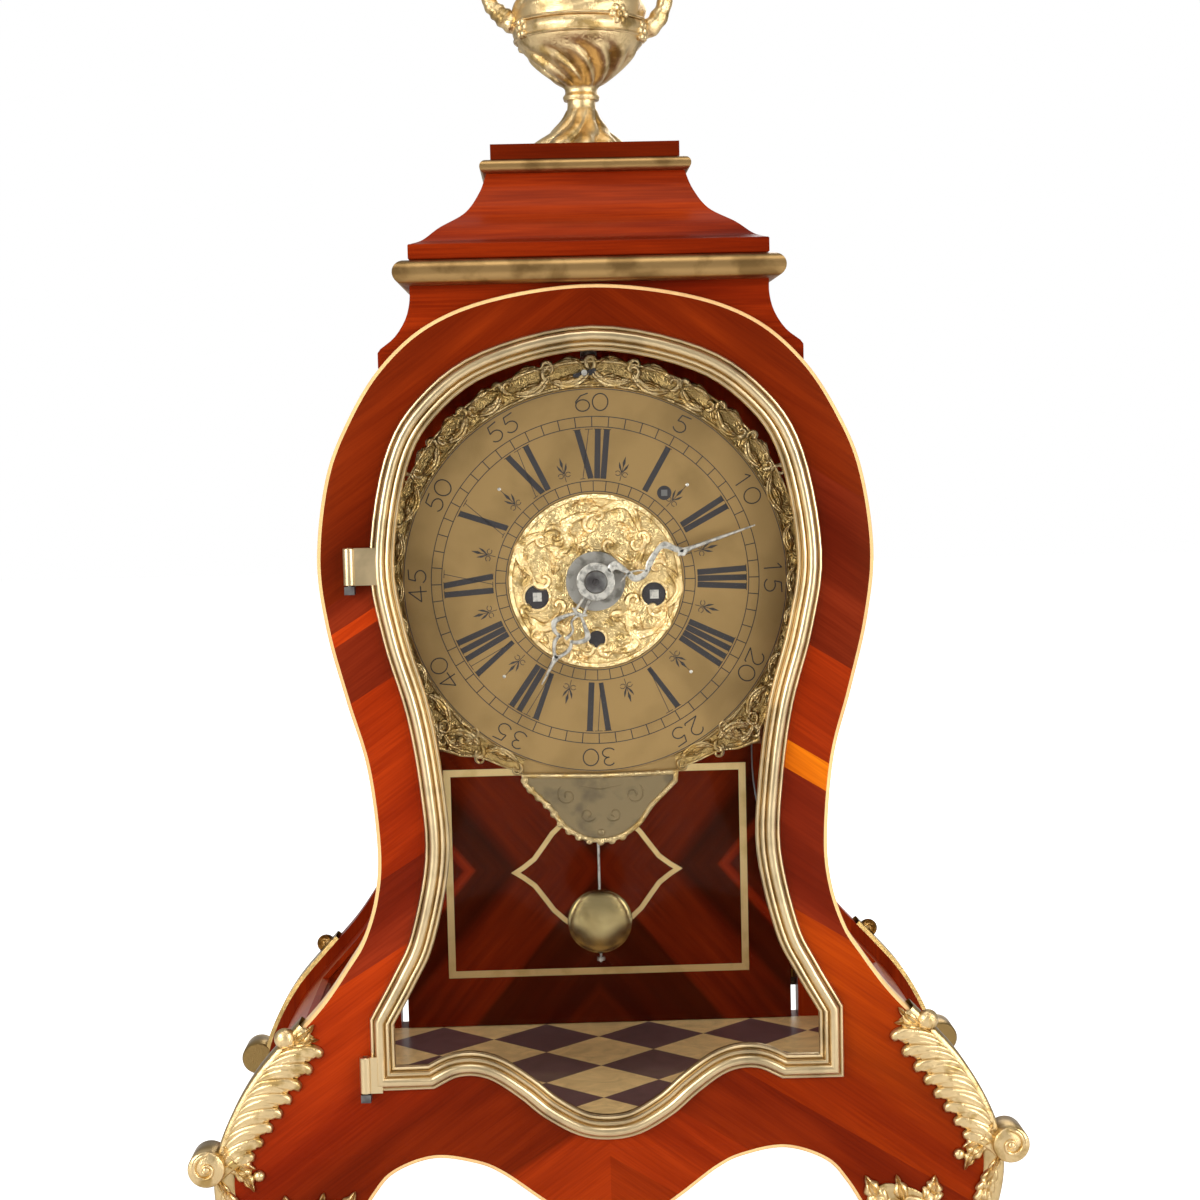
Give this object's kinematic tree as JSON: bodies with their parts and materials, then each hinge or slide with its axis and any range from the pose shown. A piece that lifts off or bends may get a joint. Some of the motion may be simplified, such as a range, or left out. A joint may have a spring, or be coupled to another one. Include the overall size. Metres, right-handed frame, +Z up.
{
  "type": "bracket clock",
  "caption": "Waisted veneered bracket clock with gilt mounts, glazed front door, brass dial and a pendulum that swings behind the lower glass",
  "frame": {"origin": "middle of the footprint on the ground", "axes": "X to the right, Y from front to back, Z up"},
  "size_m": [0.4292, 0.216, 0.7213],
  "materials": {
    "veneer": "gloss",
    "veneer_dark": "gloss",
    "plain_wood": "satin",
    "light_wood": "satin",
    "gilt": "polished",
    "brass": "satin",
    "steel": "satin",
    "glass": "gloss"
  },
  "bodies": {
    "case": {"front_board": "veneer", "rear_board": "veneer_dark", "side_walls": "veneer_dark", "side_glasses": "glass", "bottom_board": "plain_wood", "floor_parquet": "light_wood", "hood": "veneer", "roof_mouldings": "brass", "roof": "veneer", "roof_cap": "veneer", "finial_foot": "gilt", "finial_urn": "gilt", "edge_stringing": "light_wood", "knee_mounts": "gilt", "foot_mounts": "gilt", "hinge_pins": "steel", "door_catch": "steel", "seat_board": "plain_wood", "dial_plate": "brass", "dial_border": "gilt", "chapter_ring": "brass", "centre_disc": "gilt", "cartouche": "gilt", "front_plate": "brass", "back_plate": "brass", "movement_pillars": "brass", "going_click": "steel", "strike_click": "steel", "suspension_cock": "brass", "bell": "brass", "bell_stand": "steel"},
    "front_door": {"door_frame": "gilt", "door_glass": "glass", "door_glass_bead": "gilt"},
    "back_door": {"back_panel": "veneer", "back_inlay": "brass", "back_hinge_knuckles": "brass", "back_knob": "brass"},
    "minute_train": {"minute_hand": "steel", "hand_collet": "steel", "centre_wheel": "brass"},
    "motion_work": {"motion_wheel": "brass"},
    "hour_train": {"hour_hand": "steel", "hour_wheel": "brass"},
    "alarm": {"alarm_disc": "steel"},
    "silence": {"silence_lever": "steel"},
    "going_drum": {"going_barrel": "brass"},
    "third": {"third_wheel": "brass"},
    "escape": {"escape_wheel": "brass"},
    "anchor": {"pallets": "steel"},
    "pendulum": {"pendulum_rod": "steel", "pendulum_bob": "brass"},
    "strike_drum": {"strike_barrel": "brass"},
    "pin": {"pin_wheel": "brass"},
    "air_brake": {"fly": "brass"},
    "striker": {"hammer": "steel"},
    "going_winder": {"going_arbor": "steel"},
    "strike_winder": {"strike_arbor": "steel"},
    "alarm_winder": {"alarm_arbor": "steel"},
    "regulator": {"regulator_arbor": "steel"}
  },
  "joints": [
    {"name": "front_door_hinge", "type": "hinge", "parent": "case", "child": "front_door", "pos_m": [-0.1225, -0.105, 0.1232], "axis": [0, 0, 1], "range_deg": [-110, 0]},
    {"name": "back_door_hinge", "type": "hinge", "parent": "case", "child": "back_door", "pos_m": [0.117, 0.1032, 0.122], "axis": [0, 0, 1], "range_deg": [-105, 0]},
    {"name": "minute_hand_turn", "type": "hinge", "parent": "case", "child": "minute_train", "pos_m": [0, -0.057, 0.377], "axis": [0, 1, 0], "continuous": true},
    {"name": "motion_wheel_turn", "type": "hinge", "parent": "case", "child": "motion_work", "pos_m": [0, -0.06, 0.3902], "axis": [0, 1, 0], "continuous": true},
    {"name": "hour_hand_turn", "type": "hinge", "parent": "case", "child": "hour_train", "pos_m": [0, -0.06, 0.377], "axis": [0, 1, 0], "continuous": true},
    {"name": "going_barrel_turn", "type": "hinge", "parent": "case", "child": "going_drum", "pos_m": [0.03, -0.057, 0.3694], "axis": [0, 1, 0], "continuous": true},
    {"name": "third_wheel_turn", "type": "hinge", "parent": "case", "child": "third", "pos_m": [0.012, -0.057, 0.3948], "axis": [0, 1, 0], "continuous": true},
    {"name": "escape_wheel_turn", "type": "hinge", "parent": "case", "child": "escape", "pos_m": [0, -0.057, 0.4062], "axis": [0, 1, 0], "continuous": true},
    {"name": "strike_barrel_turn", "type": "hinge", "parent": "case", "child": "strike_drum", "pos_m": [-0.03, -0.057, 0.3694], "axis": [0, 1, 0], "continuous": true},
    {"name": "pin_wheel_turn", "type": "hinge", "parent": "case", "child": "pin", "pos_m": [-0.02355, -0.057, 0.39967], "axis": [0, 1, 0], "continuous": true},
    {"name": "fly_turn", "type": "hinge", "parent": "case", "child": "air_brake", "pos_m": [-0.0153, -0.057, 0.41396], "axis": [0, 1, 0], "continuous": true},
    {"name": "pendulum_swing", "type": "hinge", "parent": "case", "child": "pendulum", "pos_m": [0, 0.02, 0.4271], "axis": [0, 1, 0], "range_deg": [-3, 3]},
    {"name": "pallets_rock", "type": "hinge", "parent": "case", "child": "anchor", "pos_m": [0, -0.007, 0.4271], "axis": [0, 1, 0], "range_deg": [-3, 3]},
    {"name": "hammer_lift", "type": "hinge", "parent": "case", "child": "striker", "pos_m": [-0.038, -0.057, 0.43], "axis": [0, 1, 0], "range_deg": [-16, 0], "stiffness_Nm_per_rad": 0.03, "springref_deg": 17.19},
    {"name": "alarm_disc_turn", "type": "hinge", "parent": "case", "child": "alarm", "pos_m": [0, -0.07, 0.377], "axis": [0, 1, 0], "continuous": true},
    {"name": "silence_slide", "type": "hinge", "parent": "case", "child": "silence", "pos_m": [0.0076, -0.07, 0.4508], "axis": [0, 1, 0], "range_deg": [0, 13]},
    {"name": "going_winding", "type": "hinge", "parent": "case", "child": "going_winder", "pos_m": [0.03, -0.06, 0.3694], "axis": [0, 1, 0], "continuous": true},
    {"name": "strike_winding", "type": "hinge", "parent": "case", "child": "strike_winder", "pos_m": [-0.03, -0.06, 0.3694], "axis": [0, 1, 0], "continuous": true},
    {"name": "alarm_winding", "type": "hinge", "parent": "case", "child": "alarm_winder", "pos_m": [0, -0.06, 0.347], "axis": [0, 1, 0], "continuous": true},
    {"name": "regulator_turn", "type": "hinge", "parent": "case", "child": "regulator", "pos_m": [0.0362, -0.06, 0.4212], "axis": [0, 1, 0], "continuous": true}
  ],
  "couplings": [
    {"joint": "motion_wheel_turn", "follows": "minute_hand_turn", "ratio": -0.33333},
    {"joint": "hour_hand_turn", "follows": "minute_hand_turn", "ratio": 0.083333},
    {"joint": "going_barrel_turn", "follows": "minute_hand_turn", "ratio": -0.11111},
    {"joint": "third_wheel_turn", "follows": "minute_hand_turn", "ratio": -12},
    {"joint": "escape_wheel_turn", "follows": "minute_hand_turn", "ratio": 120},
    {"joint": "pin_wheel_turn", "follows": "strike_barrel_turn", "ratio": -9},
    {"joint": "fly_turn", "follows": "strike_barrel_turn", "ratio": 90},
    {"joint": "pallets_rock", "follows": "pendulum_swing", "ratio": 1}
  ]
}
